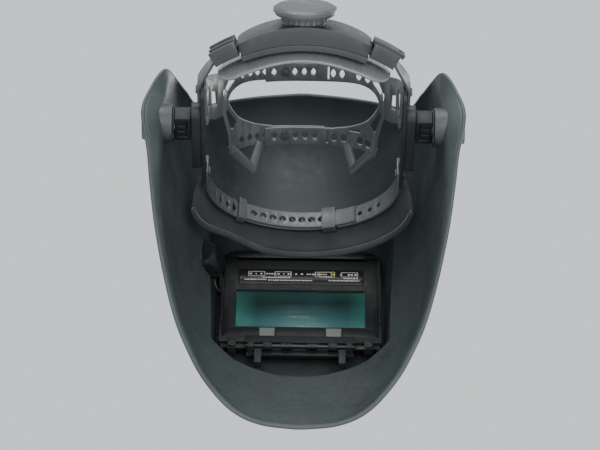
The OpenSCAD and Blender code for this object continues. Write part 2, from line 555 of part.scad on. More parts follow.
// To a point of the rear frame at radius r, angle a from the middle, height z
function rear_pt(r, a, z) =
  let (x = -r * sin(a), k = r * cos(a))
  [x, -13.6 + k * cos(rear_tilt) - z * sin(rear_tilt), -53.3 + k * sin(rear_tilt) + z * cos(rear_tilt)];
pitch_r = 4.5;
module rack(s, r, reach, tail) {
  // s = 1 is the left strap, with its rack above the pinion
  arc(r, r + 1.9, s > 0 ? 5.3 : -10, s > 0 ? 10 : -5.3, s > 0 ? -reach : -tail, s > 0 ? tail : reach);
  step = 360 / 8 * pitch_r / (r + 0.95);
  for (i = [-8:8]) rotate([0, 0, (i + 0.5) * step + (s > 0 ? -0 : 0)]) translate([0, r + 0.95, s * 4.7]) cube([0.9, 1.9, 1.5], center = true);
}
module rear_strap(s, r, tail) {
  // sweep from the side rail to the guide
  m = r + 0.95;
  P = [[71.05, 27, 0], [71.05, 32, 0], [71.05, 36, 0], [70.9, 42.5, 0.1], [68, 50, 0.4], [63.6, 58.5, 0.9], [59.8, 65.4, 1.5], rear_pt(m, -27.5, 0), rear_pt(m, -25.5, 0), rear_pt(m, -23.5, 0), rear_pt(m, -21.5, 0)];
  H = [[0, 0, 1], [0, 0, 1], [0, 0, 1], [0, -0.03, 1], [0, -0.12, 0.99], [0, -0.3, 0.95], [0, -0.45, 0.89], [0, -0.552, 0.834], [0, -0.552, 0.834], [0, -0.552, 0.834], [0, -0.552, 0.834]];
  hh = strap_h / 2 - 0.3;
  n = 30;
  color([0.09, 0.09, 0.095]) union() {
    side(s) {
      loft([for (i = [0:n]) let (t = i * 10 / n, c = along(P, t), h = unit(along(H, t)),
        d = unit(along(P, min(t + 0.1, 10)) - along(P, max(t - 0.1, 0))), o = unit(cross(d, h)))
        [c + h * hh + o * 0.95, c + h * hh - o * 0.95, c - h * hh - o * 0.95, c - h * hh + o * 0.95]]);
      // moulded peg through the rail, button head outside
      translate([65, 36, 0]) rotate([0, 90, 0]) cylinder(r = 1.8, h = 7);
      translate([71.6, 36, 0]) rotate([0, 90, 0]) cylinder(r = 3, h = 1.7);
    }
    in_rear() rack(s, r, 22.5, tail);
    in_rear() arc(r - 0.35, r + 2.25, -9.6, 9.6, s > 0 ? -23 : 20.5, s > 0 ? -20.5 : 23);
  }
}
module rear_strap_left() rear_strap(1, 115, 25);
module rear_strap_right() rear_strap(-1, 112.7, 17);
module rear_housing() color([0.12, 0.12, 0.125]) in_rear() difference() {
  union() {
    intersection() {
      arc(110.7, 124, -15.5, 15.5, -22.3, 22.3);
      translate([0, 40.8, -16]) cylinder(r = 82, h = 32, $fn = 180);
      rotate([-90, 0, 0]) linear_extrude(140) rrect(92, 31, 9);
    }
    translate([0, 117.6, 0]) rotate([-90, 0, 0]) cylinder(r = 14.2, h = 5.9);
  }
  arc(108, 118.4, -12.4, 12.4, -19, 19);
  arc(108, 117.8, -10.6, 10.6, -40, 40);
  translate([0, 106, 0]) rotate([-90, 0, 0]) cylinder(r = 6.06, h = 30);
}
module rear_base() color([0.1, 0.1, 0.105]) in_rear() difference() {
  arc(106.2, 110.6, -15, 15, -22.5, 22.5);
  translate([0, 102, 0]) rotate([-90, 0, 0]) cylinder(r = 2.6, h = 12);
  for (s = [-1, 1]) for (z = [-12, 12]) rotate([0, 0, s * 18]) translate([0, 102, z]) rotate([-90, 0, 0]) cylinder(r = 1.2, h = 12);
}
module nape_pad() color([0.17, 0.17, 0.175]) in_rear() intersection() {
  rotate([0, 0, 90 - 33.5]) rotate_extrude(angle = 67, $fn = 180)
    polygon([[97.6, -15.8], [99.6, -17.4], [104.4, -9.5], [106.1, -1], [106.1, 13], [103.2, 13], [103, 1], [101.4, -7]]);
  translate([0, 0, -2.2]) rotate([-90, 0, 0]) linear_extrude(140) rrect(114, 31, 10);
}
module strap_guides() color([0.11, 0.11, 0.115]) in_rear() for (s = [-1, 1]) rotate([0, 0, s * 27.6]) difference() {
  union() {
    arc(110.3, 119, -11.4, 11.4, -4.6, 4.6);
    for (z = [-10, 0, 10]) arc(118.8, 120.3, z - 1.4, z + 1.4, -4.6, 4.6);
    // slotted pull tab on the right guide
    if (s > 0) arc(118.8, 121.6, -6, 6, -5, 6);
  }
  arc(111.1, 118.2, -10.2, 10.2, -8, 8);
  if (s > 0) arc(118.4, 124, -1.8, 1.8, 3.6, 5);
}
module housing_screws() color([0.6, 0.6, 0.62]) in_rear() for (s = [-1, 1]) for (z = [-12, 12])
  rotate([0, 0, s * 18]) translate([0, 106.3, z]) rotate([-90, 0, 0]) cylinder(r = 1.15, h = 4);
module pinion() color([0.8, 0.8, 0.78]) in_rear() translate([0, 111.1, 0]) rotate([-90, 0, 0]) difference() {
  union() {
    cylinder(r = 3.5, h = 10);
    for (i = [0:7]) rotate([0, 0, i * 45]) translate([3.4, -0.45, 0]) cube([1.65, 0.9, 7]);
    translate([0, 0, 9.9]) cylinder(r = 6, h = 3.5);
  }
  translate([0, 0, -1]) cylinder(r = 1.5, h = 20);
}
module ratchet_knob() color([0.13, 0.13, 0.135]) in_rear() translate([0, 123.9, 0]) rotate([-90, 0, 0]) difference() {
  union() {
    difference() {
      cylinder(r = 16, h = 5);
      for (i = [0:23]) rotate(i * 15) translate([16.4, 0, -1]) cylinder(r = 1.1, h = 8);
    }
    translate([0, 0, 4.3]) cylinder(d1 = ratchet_d - 3, d2 = ratchet_d, h = 2.2);
    translate([0, 0, 6.5]) cylinder(d = ratchet_d, h = 2);
    translate([0, 0, 8.5]) cylinder(d1 = ratchet_d, d2 = ratchet_d - 5, h = 1.6);
  }
  translate([0, 0, -1]) cylinder(r = 13, h = 4.2);
  translate([0, 0, -1]) cylinder(r = 1.6, h = 9);
}
module click_ring() color([0.75, 0.75, 0.73]) in_rear() translate([0, 123.6, 0]) rotate([-90, 0, 0]) difference() {
  union() {
    cylinder(r = 11.5, h = 1.2);
    for (i = [0:11]) rotate(i * 30) translate([9.6, 0, 1.1]) cylinder(r = 1.1, h = 1.1);
  }
  translate([0, 0, -1]) cylinder(r = 6.2, h = 5);
}
module knob_screw() color([0.65, 0.65, 0.67]) in_rear() translate([0, 108.8, 0]) rotate([-90, 0, 0]) {
  difference() {
    cylinder(r = 2.3, h = 1.9);
    for (r = [0, 90]) rotate(r) cube([3.4, 0.7, 1.4], center = true);
  }
  translate([0, 0, 1.8]) cylinder(r = 1.45, h = 20.4);
}

shell();
filter_holder();
filter_case_rear();
filter_case_front();
lcd_panel();
front_glass();
inner_cover_lens();
outer_cover_lens();
solar_cell();
light_sensors();
circuit_board();
label_plate();
holder_screws();
bail_pin();
bail_spring();
retaining_bail();
shade_housing();
shade_bushing();
shade_lead();
lead_plug();
shade_knob();
shade_pointer();
tension_knob_left();
tension_knob_right();
knob_insert_left();
knob_insert_right();
slide_block_left();
slide_block_right();
pivot_bolt_left();
pivot_bolt_right();
stop_disc_left();
stop_disc_right();
track_left();
track_right();
side_rail_left();
side_rail_right();
front_strap_left();
front_strap_right();
strap_buckle();
strap_keeper();
rail_studs();
sweatband();
crown_half_left();
crown_half_right();
crown_studs();
rear_strap_left();
rear_strap_right();
rear_housing();
rear_base();
nape_pad();
strap_guides();
housing_screws();
pinion();
ratchet_knob();
click_ring();
knob_screw();
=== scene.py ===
"""Looks of the welding helmet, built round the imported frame."""

import json
import math

import bmesh
import bpy
import numpy as np
from mathutils import Matrix, Vector

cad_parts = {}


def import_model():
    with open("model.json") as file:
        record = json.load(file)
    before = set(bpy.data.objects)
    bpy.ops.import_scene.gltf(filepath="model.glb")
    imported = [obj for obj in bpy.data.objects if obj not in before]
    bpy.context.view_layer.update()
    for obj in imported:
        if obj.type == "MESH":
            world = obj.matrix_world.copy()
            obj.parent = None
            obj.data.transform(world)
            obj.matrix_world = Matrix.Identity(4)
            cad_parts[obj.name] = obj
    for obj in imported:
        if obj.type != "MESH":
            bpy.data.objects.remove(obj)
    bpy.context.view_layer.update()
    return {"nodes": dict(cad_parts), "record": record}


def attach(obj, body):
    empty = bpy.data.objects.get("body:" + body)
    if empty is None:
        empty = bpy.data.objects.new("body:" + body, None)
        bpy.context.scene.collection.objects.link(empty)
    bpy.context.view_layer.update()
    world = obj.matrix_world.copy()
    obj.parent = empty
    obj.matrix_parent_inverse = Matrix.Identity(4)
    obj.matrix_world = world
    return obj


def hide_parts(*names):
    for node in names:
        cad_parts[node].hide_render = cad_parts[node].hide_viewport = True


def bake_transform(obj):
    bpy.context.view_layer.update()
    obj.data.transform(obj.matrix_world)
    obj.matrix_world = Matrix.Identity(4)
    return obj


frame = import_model()
NODES = frame["nodes"]
MM = 0.001

# ------------------------------------------------------------------ frames
PITCH = math.radians(5.5)
M_SHELL = Matrix.Rotation(PITCH, 4, "X")
M_FILTER = M_SHELL @ Matrix.Translation((0, -155, -16)) @ Matrix.Rotation(math.radians(98), 4, "X")
M_SHADE = (
    M_SHELL
    @ Matrix.Translation((71.5, -122, -14))
    @ Matrix.Rotation(math.radians(-20), 4, "Z")
    @ Matrix.Rotation(math.radians(90), 4, "Y")
)
M_REAR = Matrix.Translation((0, -13.6, -53.3)) @ Matrix.Rotation(math.radians(33.5), 4, "X")
M_CROWN = Matrix.Translation((0, -42.5, 58.6)) @ Matrix.Rotation(math.radians(13), 4, "X")


def world(m, pts):
    """Points in millimetres of a local frame, as metres in the row frame."""
    a = np.array([[m[i][j] for j in range(4)] for i in range(3)])
    p = np.asarray(pts, float)
    return (p @ a[:, :3].T + a[:, 3]) * MM


def link(mesh, name):
    o = bpy.data.objects.new(name, mesh)
    bpy.context.scene.collection.objects.link(o)
    return o


def make(name, verts, faces, smooth=True):
    me = bpy.data.meshes.new(name)
    me.from_pydata([tuple(map(float, v)) for v in verts], [], [tuple(int(i) for i in f) for f in faces])
    me.update()
    if smooth:
        me.polygons.foreach_set("use_smooth", [True] * len(me.polygons))
    return link(me, name)


def recalc(o):
    bm = bmesh.new()
    bm.from_mesh(o.data)
    bmesh.ops.recalc_face_normals(bm, faces=bm.faces)
    bm.to_mesh(o.data)
    bm.free()
    o.data.update()


def activate(o):
    bpy.ops.object.select_all(action="DESELECT")
    o.select_set(True)
    bpy.context.view_layer.objects.active = o


def apply_all(o):
    activate(o)
    for m in list(o.modifiers):
        bpy.ops.object.modifier_apply(modifier=m.name)


def boolean(o, other, how, remove=True):
    m = o.modifiers.new("b", "BOOLEAN")
    m.operation = how
    m.object = other
    m.solver = "EXACT"
    activate(o)
    bpy.ops.object.modifier_apply(modifier=m.name)
    if remove:
        bpy.data.objects.remove(other, do_unlink=True)


def smooth_angle(o, deg):
    activate(o)
    bpy.ops.object.shade_smooth_by_angle(angle=math.radians(deg))


# ------------------------------------------------------------------ materials
def new_mat(name):
    m = bpy.data.materials.new(name)
    m.use_nodes = True
    nt = m.node_tree
    return m, nt, nt.nodes["Principled BSDF"]


def node(nt, kind, **kw):
    n = nt.nodes.new(kind)
    for k, v in kw.items():
        if k in n.inputs:
            n.inputs[k].default_value = v
        else:
            setattr(n, k, v)
    return n


def coords(nt, scale=(1, 1, 1), rot=(0, 0, 0)):
    tc = nt.nodes.new("ShaderNodeTexCoord")
    mp = nt.nodes.new("ShaderNodeMapping")
    mp.inputs["Scale"].default_value = scale
    mp.inputs["Rotation"].default_value = rot
    nt.links.new(tc.outputs["Object"], mp.inputs["Vector"])
    return mp.outputs["Vector"]


def noise(nt, vec, scale, detail=4.0, rough=0.55):
    n = node(nt, "ShaderNodeTexNoise")
    n.inputs["Scale"].default_value = scale
    n.inputs["Detail"].default_value = detail
    n.inputs["Roughness"].default_value = rough
    nt.links.new(vec, n.inputs["Vector"])
    return n.outputs["Fac"]


def ramp(nt, fac, stops):
    r = nt.nodes.new("ShaderNodeValToRGB")
    el = r.color_ramp.elements
    el[0].position, el[0].color = stops[0][0], (*stops[0][1], 1)
    el[1].position, el[1].color = stops[-1][0], (*stops[-1][1], 1)
    for p, c in stops[1:-1]:
        e = el.new(p)
        e.color = (*c, 1)
    nt.links.new(fac, r.inputs["Fac"])
    return r.outputs["Color"]


def remap(nt, fac, lo, hi, a=0.0, b=1.0):
    r = nt.nodes.new("ShaderNodeMapRange")
    r.inputs["From Min"].default_value = a
    r.inputs["From Max"].default_value = b
    r.inputs["To Min"].default_value = lo
    r.inputs["To Max"].default_value = hi
    nt.links.new(fac, r.inputs["Value"])
    return r.outputs["Result"]


def mix(nt, fac, a, b, kind="MIX"):
    m = nt.nodes.new("ShaderNodeMix")
    m.data_type = "RGBA"
    m.blend_type = kind
    if hasattr(fac, "links") or hasattr(fac, "is_output"):
        nt.links.new(fac, m.inputs[0])
    else:
        m.inputs[0].default_value = fac
    for sock, v in ((6, a), (7, b)):
        if isinstance(v, tuple):
            m.inputs[sock].default_value = (*v, 1)
        else:
            nt.links.new(v, m.inputs[sock])
    return m.outputs[2]


def bump(nt, heights, bsdf, distance=0.0002, strength=0.3):
    last = None
    for h, s in heights:
        b = nt.nodes.new("ShaderNodeBump")
        b.inputs["Distance"].default_value = distance
        b.inputs["Strength"].default_value = s * strength
        nt.links.new(h, b.inputs["Height"])
        if last is not None:
            nt.links.new(last, b.inputs["Normal"])
        last = b.outputs["Normal"]
    nt.links.new(last, bsdf.inputs["Normal"])


def scale_rgb(c, k):
    return tuple(min(1.0, x * k) for x in c)


def plastic(name, base, rough=0.42, grain=1600, grain_s=0.35, spec=0.5, wear=0.35, streak=False, coat=0.0, spread=0.22):
    m, nt, p = new_mat(name)
    v = coords(nt)
    big = noise(nt, v, 22, 5, 0.6)
    mid = noise(nt, v, 160, 4, 0.6)
    col = ramp(nt, big, [(0.3, scale_rgb(base, 1 - spread)), (0.5, base), (0.72, scale_rgb(base, 1 + spread))])
    dust = ramp(nt, mid, [(0.56, (0, 0, 0)), (0.78, (1, 1, 1))])
    col = mix(nt, dust, col, scale_rgb(base, 1 + spread * 1.4))
    geo = nt.nodes.new("ShaderNodeNewGeometry")
    edge = ramp(nt, geo.outputs["Pointiness"], [(0.52, (0, 0, 0)), (0.6, (wear, wear, wear))])
    col = mix(nt, edge, col, scale_rgb(base, 2.1))
    nt.links.new(col, p.inputs["Base Color"])
    fine = noise(nt, v, grain, 2, 0.5)
    r = remap(nt, mid, rough - 0.07, rough + 0.1, 0.3, 0.7)
    nt.links.new(r, p.inputs["Roughness"])
    hs = [(fine, 1.0), (mid, 0.35)]
    if streak:
        sv = coords(nt, (60, 900, 900), (0, 0, 0))
        hs.append((noise(nt, sv, 1.0, 3), 0.5))
    bump(nt, hs, p, 0.00025, grain_s)
    p.inputs["Specular IOR Level"].default_value = spec
    if coat:
        p.inputs["Coat Weight"].default_value = coat
        p.inputs["Coat Roughness"].default_value = 0.12
    return m


def metal(name, base, rough=0.32, aniso=0.3):
    m, nt, p = new_mat(name)
    v = coords(nt)
    n = noise(nt, v, 300, 4)
    nt.links.new(ramp(nt, n, [(0.3, scale_rgb(base, 0.75)), (0.7, base)]), p.inputs["Base Color"])
    nt.links.new(remap(nt, n, rough - 0.08, rough + 0.14, 0.3, 0.7), p.inputs["Roughness"])
    p.inputs["Metallic"].default_value = 1.0
    p.inputs["Anisotropic"].default_value = aniso
    bump(nt, [(noise(nt, coords(nt, (200, 3000, 3000)), 1.0, 2), 1.0)], p, 0.0001, 0.25)
    return m


def fabric(name, base, thread=0.0007, sheen=0.5, fuzz=0.5):
    m, nt, p = new_mat(name)
    v = coords(nt)
    k = 2 * math.pi / (20 * thread)
    waves = []
    for d, rot in (("X", (0, 0, 0.6)), ("Y", (0.5, 0, -0.2)), ("Z", (0.2, 0.1, 0))):
        vv = coords(nt, (1, 1, 1), rot)
        w = node(nt, "ShaderNodeTexWave")
        w.bands_direction = d
        w.inputs["Scale"].default_value = k
        w.inputs["Distortion"].default_value = 1.4
        w.inputs["Detail"].default_value = 2
        w.inputs["Detail Scale"].default_value = 1.5
        nt.links.new(vv, w.inputs["Vector"])
        waves.append(w.outputs["Fac"])
    mul = nt.nodes.new("ShaderNodeMath")
    mul.operation = "MULTIPLY"
    nt.links.new(waves[0], mul.inputs[0])
    nt.links.new(waves[2], mul.inputs[1])
    fine = noise(nt, v, 1500, 4, 0.7)
    big = noise(nt, v, 35, 4)
    col = ramp(nt, big, [(0.3, scale_rgb(base, 0.75)), (0.7, scale_rgb(base, 1.25))])
    col = mix(nt, remap(nt, mul.outputs[0], 0.55, 1.0), scale_rgb(base, 0.75), col)
    col = mix(nt, ramp(nt, fine, [(0.5, (0, 0, 0)), (0.75, (fuzz, fuzz, fuzz))]), col, scale_rgb(base, 1.9))
    nt.links.new(col, p.inputs["Base Color"])
    p.inputs["Roughness"].default_value = 0.9
    p.inputs["Sheen Weight"].default_value = sheen
    p.inputs["Sheen Roughness"].default_value = 0.4
    p.inputs["Sheen Tint"].default_value = (0.8, 0.85, 0.9, 1)
    p.inputs["Specular IOR Level"].default_value = 0.25
    bump(nt, [(mul.outputs[0], 0.35), (fine, 0.7), (big, 0.4)], p, 0.0003, 0.5)
    return m


MAT = {}
MAT["shell_plastic"] = plastic("shell_plastic", (0.0425, 0.0550, 0.0545), 0.46, 2300, 0.45, 0.5, 0.3)
MAT["inner_plastic"] = plastic("inner_plastic", (0.0125, 0.0142, 0.0148), 0.5, 1800, 0.3, 0.26, 0.5)
MAT["case_plastic"] = plastic("case_plastic", (0.0085, 0.0098, 0.0104), 0.46, 2400, 0.3, 0.22, 0.45)
MAT["knob_plastic"] = plastic("knob_plastic", (0.082, 0.086, 0.089), 0.4, 1500, 0.35, 0.5, 0.5)
MAT["strap_plastic"] = plastic("strap_plastic", (0.058, 0.0615, 0.067), 0.36, 900, 0.25, 0.55, 0.5, streak=True)
MAT["housing_plastic"] = plastic("housing_plastic", (0.029, 0.0325, 0.0335), 0.42, 1600, 0.35, 0.5, 0.5)
MAT["pad_plastic"] = plastic("pad_plastic", (0.150, 0.157, 0.162), 0.24, 700, 0.06, 0.6, 0.3, coat=0.45, spread=0.07)
MAT["bail_pad"] = plastic("bail_pad", (0.085, 0.09, 0.092), 0.42, 1500, 0.3, 0.5, 0.5)
MAT["block_plastic"] = plastic("block_plastic", (0.0135, 0.0158, 0.0165), 0.5, 1500, 0.3, 0.28, 0.5)
MAT["rail_plastic"] = plastic("rail_plastic", (0.024, 0.0272, 0.0282), 0.46, 1500, 0.3, 0.35, 0.5)
MAT["crown_plastic"] = plastic("crown_plastic", (0.088, 0.097, 0.1), 0.38, 900, 0.2, 0.5, 0.5)
MAT["pinion_plastic"] = plastic("pinion_plastic", (0.55, 0.55, 0.52), 0.35, 1200, 0.2, 0.5, 0.1)
MAT["pointer_white"] = plastic("pointer_white", (0.62, 0.62, 0.6), 0.45, 1500, 0.2, 0.5, 0.1)
MAT["mark_yellow"] = plastic("mark_yellow", (0.42, 0.36, 0.08), 0.45, 1500, 0.2, 0.5, 0.1)
MAT["lead_sheath"] = plastic("lead_sheath", (0.015, 0.015, 0.016), 0.5, 1200, 0.4, 0.4, 0.2)
MAT["board"] = plastic("board", (0.03, 0.16, 0.07), 0.35, 900, 0.3, 0.5, 0.1)
MAT["label"] = plastic("label", (0.011, 0.0115, 0.0122), 0.4, 2600, 0.12, 0.3, 0.2)
MAT["steel"] = metal("steel", (0.5, 0.5, 0.52), 0.3)
MAT["black_steel"] = metal("black_steel", (0.06, 0.06, 0.065), 0.4)
MAT["brass"] = metal("brass", (0.72, 0.5, 0.2), 0.3)
MAT["sweat_cloth"] = fabric("sweat_cloth", (0.036, 0.038, 0.0395), 0.0008, 0.18, 0.35)
MAT["binding_cloth"] = fabric("binding_cloth", (0.040, 0.042, 0.0435), 0.0005, 0.35, 0.4)


def lcd_with_painted_glow():
    m, nt, p = new_mat("lcd")
    tc = nt.nodes.new("ShaderNodeTexCoord")
    sep = nt.nodes.new("ShaderNodeSeparateXYZ")
    nt.links.new(tc.outputs["Object"], sep.inputs[0])
    # Colour runs lighter at the top and bottom and dark in the middle: painted glow of light shining through the
    # filter.
    g = remap(nt, sep.outputs["Z"], 0, 1, -0.055, -0.012)
    col = ramp(nt, g, [(0.0, (0.05, 0.165, 0.17)), (0.2, (0.028, 0.1, 0.106)), (0.45, (0.012, 0.045, 0.048)), (0.72, (0.026, 0.115, 0.1)), (1.0, (0.055, 0.24, 0.19))])
    # Lighter towards the left and right edges: painted glow of light shining through the filter.
    gx = remap(nt, sep.outputs["X"], 0, 1, -0.046, 0.046)
    painted_side_glow = ramp(nt, gx, [(0.0, (0.6, 0.6, 0.6)), (0.14, (0, 0, 0)), (0.84, (0, 0, 0)), (1.0, (0.75, 0.75, 0.75))])
    col = mix(nt, painted_side_glow, col, (0.085, 0.4, 0.32))
    cloud = noise(nt, coords(nt, (1, 1, 1.6)), 38, 3)
    col = mix(nt, ramp(nt, cloud, [(0.45, (0, 0, 0)), (0.75, (0.45, 0.45, 0.45))]), col, (0.035, 0.11, 0.115))
    nt.links.new(col, p.inputs["Base Color"])
    p.inputs["Roughness"].default_value = 0.34
    p.inputs["Coat Weight"].default_value = 0.15
    p.inputs["Coat Roughness"].default_value = 0.04
    bump(nt, [(noise(nt, coords(nt), 60, 2), 0.3)], p, 0.0001, 0.03)
    return m


def clear_material():
    m, nt, p = new_mat("clear_lens")
    v = coords(nt)
    n = noise(nt, v, 45, 4)
    nt.links.new(remap(nt, n, 0.2, 0.32, 0.3, 0.7), p.inputs["Roughness"])
    nt.links.new(ramp(nt, n, [(0.3, (0.05, 0.07, 0.07)), (0.7, (0.09, 0.12, 0.12))]), p.inputs["Base Color"])
    p.inputs["IOR"].default_value = 1.49
    p.inputs["Alpha"].default_value = 0.07
    p.inputs["Specular IOR Level"].default_value = 0.2
    bump(nt, [(noise(nt, v, 90, 3), 0.3)], p, 0.0001, 0.015)
    return m


def dark_glass(name, base, rough=0.08):
    m, nt, p = new_mat(name)
    v = coords(nt)
    n = noise(nt, v, 120, 3)
    nt.links.new(ramp(nt, n, [(0.3, scale_rgb(base, 0.7)), (0.7, scale_rgb(base, 1.2))]), p.inputs["Base Color"])
    nt.links.new(remap(nt, n, rough, rough + 0.08, 0.3, 0.7), p.inputs["Roughness"])
    p.inputs["Coat Weight"].default_value = 0.8
    p.inputs["Coat Roughness"].default_value = 0.03
    bump(nt, [(n, 0.2)], p, 0.0001, 0.1)
    return m


def solar_material():
    m, nt, p = new_mat("solar")
    w = node(nt, "ShaderNodeTexWave")
    w.bands_direction = "X"
    w.inputs["Scale"].default_value = 2 * math.pi / (20 * 0.0072)
    nt.links.new(coords(nt), w.inputs["Vector"])
    line = ramp(nt, w.outputs["Fac"], [(0.93, (0, 0, 0)), (0.97, (1, 1, 1))])
    nt.links.new(mix(nt, line, (0.012, 0.008, 0.03), (0.2, 0.2, 0.24)), p.inputs["Base Color"])
    nt.links.new(remap(nt, noise(nt, coords(nt), 200), 0.15, 0.3), p.inputs["Roughness"])
    p.inputs["Coat Weight"].default_value = 0.8
    bump(nt, [(w.outputs["Fac"], 0.2)], p, 0.0001, 0.2)
    return m


MAT["lcd"] = lcd_with_painted_glow()
MAT["clear_lens"] = clear_material()
MAT["filter_glass"] = dark_glass("filter_glass", (0.02, 0.06, 0.035))
MAT["sensor"] = dark_glass("sensor", (0.03, 0.005, 0.012))
MAT["solar"] = solar_material()

SLOT = {s["node"]: s["material_slot"] for s in frame["record"]["subparts"]}


def paint(o, slot):
    o.data.materials.clear()
    o.data.materials.append(MAT[slot])


for name, o in NODES.items():
    while len(o.material_slots) < 1:
        o.data.materials.append(None)
    for s in o.material_slots:
        s.link = "OBJECT"
        s.material = MAT[SLOT[name]]

for name in ("holder_screws", "bail_pin", "bail_spring"):
    for s in NODES[name].material_slots:
        s.material = MAT["black_steel"]
for name in ("slide_block_left", "slide_block_right", "stop_disc_left", "stop_disc_right"):
    if name in NODES:
        for s in NODES[name].material_slots:
            s.material = MAT["block_plastic"]
for name in ("track_left", "track_right", "side_rail_left", "side_rail_right"):
    for s in NODES[name].material_slots:
        s.material = MAT["rail_plastic"]
for name in ("crown_half_left", "crown_half_right"):
    for s in NODES[name].material_slots:
        s.material = MAT["crown_plastic"]

# ------------------------------------------------------------------ soften the CAD edges
NO_BEVEL = {"shell", "sweatband", "shade_lead", "inner_cover_lens", "outer_cover_lens", "label_plate", "solar_cell", "front_glass", "lcd_panel"}
FINE = {"pinion": 0.12, "bail_spring": 0.1, "rear_strap_left": 0.2, "rear_strap_right": 0.2, "shade_pointer": 0.12, "click_ring": 0.15, "holder_screws": 0.1, "knob_screw": 0.15, "housing_screws": 0.1, "strap_keeper": 0.3, "strap_buckle": 0.3, "crown_half_left": 0.25, "crown_half_right": 0.25, "front_strap_left": 0.25, "front_strap_right": 0.25, "side_rail_left": 0.35, "side_rail_right": 0.35}
for name, o in NODES.items():
    w = o.modifiers.new("weld", "WELD")
    w.merge_threshold = 0.000002
    if name not in NO_BEVEL:
        b = o.modifiers.new("bevel", "BEVEL")
        b.width = FINE.get(name, 0.45) * MM
        b.segments = 2
        b.limit_method = "ANGLE"
        b.angle_limit = math.radians(32)
        b.use_clamp_overlap = True
        b.harden_normals = False
    activate(o)
    bpy.ops.object.shade_smooth_by_angle(angle=math.radians(34), keep_sharp_edges=False)

# ------------------------------------------------------------------ the shell
RIM = [
    (0, 80, -206, 0, 2.2, 0), (26, 79, -203, 0, 2.2, 0), (46, 75, -194, 1, 2.3, 0.02),
    (64, 67, -175, 1.5, 2.4, 0.05), (76, 58, -155, 2, 2.5, 0.08), (85, 49, -134, 2, 2.6, 0.11),
    (93, 36, -106, 2, 2.8, 0.14), (99.5, 22, -76, 2.5, 2.9, 0.17), (103.5, 6, -51, 3.5, 3, 0.19),
    (106, -5, -31, 6, 3, 0.2), (110.5, -17.5, -7.5, 11, 3, 0.2), (106, -19, 13.5, 8, 2.9, 0.19),
    (97, -21, 31, 2, 2.8, 0.16), (90, -3, 41, 0.5, 2.7, 0.12), (83, 14, 46, 0, 2.6, 0.08),
    (78, 30, 52, 0, 2.5, 0.05), (70, 52, 74, 0, 2.4, 0.02), (51, 72, 101, 0, 2.3, 0),
    (28, 76, 110, 0, 2.2, 0), (0, 76, 113, 0, 2.2, 0)]
FACE = [
    (80, -206), (90, -188), (101, -168), (112, -147), (124, -124), (135, -101), (144, -77),
    (151, -50), (154, -27), (155, -7), (156, 8), (156, 21), (154, 35), (150, 49), (144, 61),
    (135, 76), (124, 89), (108, 103), (92, 111), (76, 113)]
WALL = 2.5
SPAN = 0.06
RIM_A = np.array(RIM, float)
FACE_A = np.array(FACE, float)


def along(P, t):
    n = len(P) - 1
    t = np.asarray(t, float)
    i = np.minimum(np.floor(t).astype(int), n - 1)
    f = (t - i)[..., None]
    a, b, c, d = P[np.maximum(i - 1, 0)], P[i], P[i + 1], P[np.minimum(i + 2, n)]
    return 0.5 * (2 * b + (c - a) * f + (2 * a - 5 * b + 4 * c - d) * f * f + (3 * b - a - 3 * c + d) * f ** 3)


def shell_point(t, a):
    """Outer surface of the shell; t from chin to crown, a from -90 to 90 degrees."""
    t, a = np.broadcast_arrays(np.asarray(t, float), np.asarray(a, float))
    r, c = along(RIM_A, t), along(FACE_A, t)
    ex = 2 / r[..., 4]
    ar = np.radians(a)
    w = np.maximum(np.cos(ar), 0) ** ex
    s = np.sign(ar) * np.abs(np.sin(ar)) ** ex
    fl = np.maximum(r[..., 3], 0)
    k = np.maximum(0, 1 - w / SPAN)
    x = s * ((r[..., 0] - fl) * (1 - r[..., 5] * w) + fl * k * k)
    F = r[..., 1] + (c[..., 0] - r[..., 1]) * w
    U = r[..., 2] + (c[..., 1] - r[..., 2]) * w
    return np.stack([x, -F, U], -1)


def unit(v):
    return v / np.maximum(np.linalg.norm(v, axis=-1, keepdims=True), 1e-9)


def shell_normal(t, a):
    tt = np.clip(t, 0.5, 18.5)
    aa = np.clip(a, -84, 84)
    du = shell_point(tt + 0.05, aa) - shell_point(tt - 0.05, aa)
    dv = shell_point(tt, aa + 1.5) - shell_point(tt, aa - 1.5)
    return unit(np.cross(dv, du))


def rim_out(t):
    """Outward direction of the rim in the side view."""
    d = along(RIM_A, np.minimum(t + 0.05, 19)) - along(RIM_A, np.maximum(t - 0.05, 0))
    return unit(np.stack([0 * t, d[..., 2], d[..., 1]], -1))


def grid_closed(name, G):
    """A closed solid from a grid of points, its two long edges joined by a ruled face."""
    rows, cols = G.shape[:2]
    idx = np.arange(rows * cols).reshape(rows, cols)
    F = []
    for i in range(rows - 1):
        for j in range(cols - 1):
            F.append((idx[i, j], idx[i, j + 1], idx[i + 1, j + 1], idx[i + 1, j]))
        F.append((idx[i, 0], idx[i + 1, 0], idx[i + 1, -1], idx[i, -1]))
    F.append(tuple(idx[0, ::-1]))
    F.append(tuple(idx[-1, :]))
    o = make(name, world(M_SHELL, G.reshape(-1, 3)), F)
    recalc(o)
    return o


TN, AN = ((128, 110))
ts = np.linspace(0.06, 18.94, TN + 1)
vv = np.linspace(-1, 1, AN + 1)
aw = np.sign(vv) * np.where(np.abs(vv) < 0.72, np.abs(vv) / 0.72 * 80, 90 - 10 * np.clip(1 - (np.abs(vv) - 0.72) / 0.28, 0, 1) ** 3)
TT, AA = np.meshgrid(ts, aw, indexing="ij")
outer = grid_closed("shell_skin", shell_point(TT, AA))
inner_g = shell_point(TT, AA) - WALL * shell_normal(TT, AA)
ext = 6 * rim_out(ts)[:, None, :]
inner = grid_closed("shell_inner", np.concatenate([inner_g[:, :1] + ext, inner_g, inner_g[:, -1:] + ext], 1))


